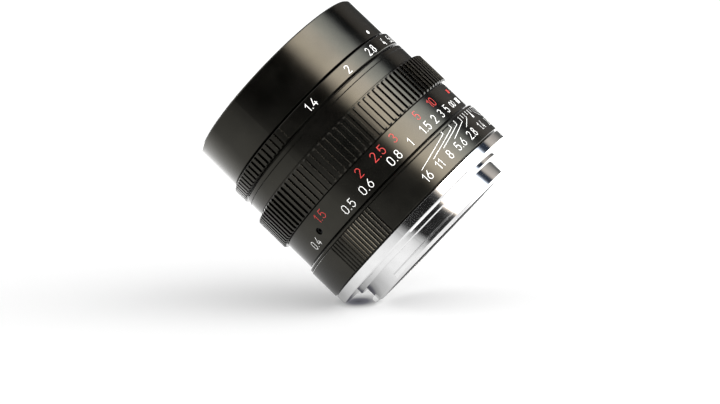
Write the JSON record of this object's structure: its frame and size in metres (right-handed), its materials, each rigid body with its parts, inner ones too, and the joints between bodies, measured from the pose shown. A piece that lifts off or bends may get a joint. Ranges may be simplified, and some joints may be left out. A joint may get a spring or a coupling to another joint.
{
  "type": "camera lens",
  "caption": "Manual prime camera lens: bayonet mount, ribbed focus ring over a helicoid, aperture ring and a working blade iris.",
  "frame": {"origin": "centre of the mount flange's seating face, on the optical axis", "axes": "+Z along the optical axis to the front of the lens, +Y towards the index line on top, +X completes the right-handed frame"},
  "size_m": [0.0606, 0.0606, 0.0604],
  "materials": {
    "black_anodised": "satin black anodised",
    "matt_black": "matt black anodised",
    "chrome_mount": "turned and chromed",
    "brass": "turned, greased",
    "steel": "bright steel",
    "coated_glass": "polished and coated",
    "blade_black": "thin black steel",
    "white_paint": "engraved and filled white",
    "red_paint": "engraved and filled red"
  },
  "bodies": {
    "mount_body": {"mount_flange": "chrome_mount", "mount_screws": "steel", "rear_barrel": "black_anodised", "bearing_ring": "brass", "focus_stop_pin": "steel", "guide_keys": "brass", "key_screws": "steel", "rear_baffle": "matt_black"},
    "focus_body": {"focus_helicoid": "brass", "distance_sleeve": "black_anodised", "sleeve_grub_screws": "steel", "grip_ring": "black_anodised", "focus_front_sleeve": "black_anodised", "focus_front_ring": "black_anodised"},
    "optics_body": {"inner_barrel": "matt_black", "front_cell": "matt_black", "front_barrel": "black_anodised", "front_barrel_screws": "steel", "trim_ring": "matt_black", "front_retainer": "matt_black", "front_spacer": "matt_black", "rear_cell": "matt_black", "rear_spacer": "matt_black", "rear_thin_spacer": "matt_black", "rear_retainer": "matt_black", "iris_housing": "matt_black", "iris_set_screws": "steel", "iris_retaining_ring": "steel", "lens_1": "coated_glass", "lens_2": "coated_glass", "lens_3": "coated_glass", "lens_4": "coated_glass", "lens_5": "coated_glass", "lens_6": "coated_glass", "lens_7": "coated_glass"},
    "aperture_body": {"aperture_ring": "black_anodised", "iris_cam_ring": "matt_black", "aperture_link_pin": "steel"},
    "blade_1_body": {"iris_blade_1": "blade_black"},
    "blade_2_body": {"iris_blade_2": "blade_black"},
    "blade_3_body": {"iris_blade_3": "blade_black"},
    "blade_4_body": {"iris_blade_4": "blade_black"},
    "blade_5_body": {"iris_blade_5": "blade_black"},
    "blade_6_body": {"iris_blade_6": "blade_black"},
    "blade_7_body": {"iris_blade_7": "blade_black"},
    "blade_8_body": {"iris_blade_8": "blade_black"}
  },
  "joints": [
    {"name": "focus_turn", "type": "hinge", "parent": "mount_body", "child": "focus_body", "pos_m": [0, 0, 0.017], "axis": [0, 0, 1], "range_deg": [0, 118.05]},
    {"name": "optics_slide", "type": "slide", "parent": "mount_body", "child": "optics_body", "axis": [0, 0, 1], "range_m": [0, 0.00385]},
    {"name": "aperture_turn", "type": "hinge", "parent": "optics_body", "child": "aperture_body", "pos_m": [0, 0, 0.039], "axis": [0, 0, 1], "range_deg": [-37.5, 60.2]},
    {"name": "blade_1_swing", "type": "hinge", "parent": "optics_body", "child": "blade_1_body", "pos_m": [0.017, 0, 0.0301], "axis": [0, 0, 1], "range_deg": [-19.94, 12.46]},
    {"name": "blade_2_swing", "type": "hinge", "parent": "optics_body", "child": "blade_2_body", "pos_m": [0.01202, 0.01202, 0.03025], "axis": [0, 0, 1], "range_deg": [-19.94, 12.46]},
    {"name": "blade_3_swing", "type": "hinge", "parent": "optics_body", "child": "blade_3_body", "pos_m": [0, 0.017, 0.0304], "axis": [0, 0, 1], "range_deg": [-19.94, 12.46]},
    {"name": "blade_4_swing", "type": "hinge", "parent": "optics_body", "child": "blade_4_body", "pos_m": [-0.01202, 0.01202, 0.03055], "axis": [0, 0, 1], "range_deg": [-19.94, 12.46]},
    {"name": "blade_5_swing", "type": "hinge", "parent": "optics_body", "child": "blade_5_body", "pos_m": [-0.017, 0, 0.0307], "axis": [0, 0, 1], "range_deg": [-19.94, 12.46]},
    {"name": "blade_6_swing", "type": "hinge", "parent": "optics_body", "child": "blade_6_body", "pos_m": [-0.01202, -0.01202, 0.03085], "axis": [0, 0, 1], "range_deg": [-19.94, 12.46]},
    {"name": "blade_7_swing", "type": "hinge", "parent": "optics_body", "child": "blade_7_body", "pos_m": [0, -0.017, 0.031], "axis": [0, 0, 1], "range_deg": [-19.94, 12.46]},
    {"name": "blade_8_swing", "type": "hinge", "parent": "optics_body", "child": "blade_8_body", "pos_m": [0.01202, -0.01202, 0.03115], "axis": [0, 0, 1], "range_deg": [-19.94, 12.46]}
  ],
  "couplings": [
    {"joint": "optics_slide", "follows": "focus_turn", "m_per_rad": 0.0018637},
    {"joint": "blade_1_swing", "follows": "aperture_turn", "ratio": -0.32958},
    {"joint": "blade_2_swing", "follows": "aperture_turn", "ratio": -0.32958},
    {"joint": "blade_3_swing", "follows": "aperture_turn", "ratio": -0.32958},
    {"joint": "blade_4_swing", "follows": "aperture_turn", "ratio": -0.32958},
    {"joint": "blade_5_swing", "follows": "aperture_turn", "ratio": -0.32958},
    {"joint": "blade_6_swing", "follows": "aperture_turn", "ratio": -0.32958},
    {"joint": "blade_7_swing", "follows": "aperture_turn", "ratio": -0.32958},
    {"joint": "blade_8_swing", "follows": "aperture_turn", "ratio": -0.32958}
  ]
}
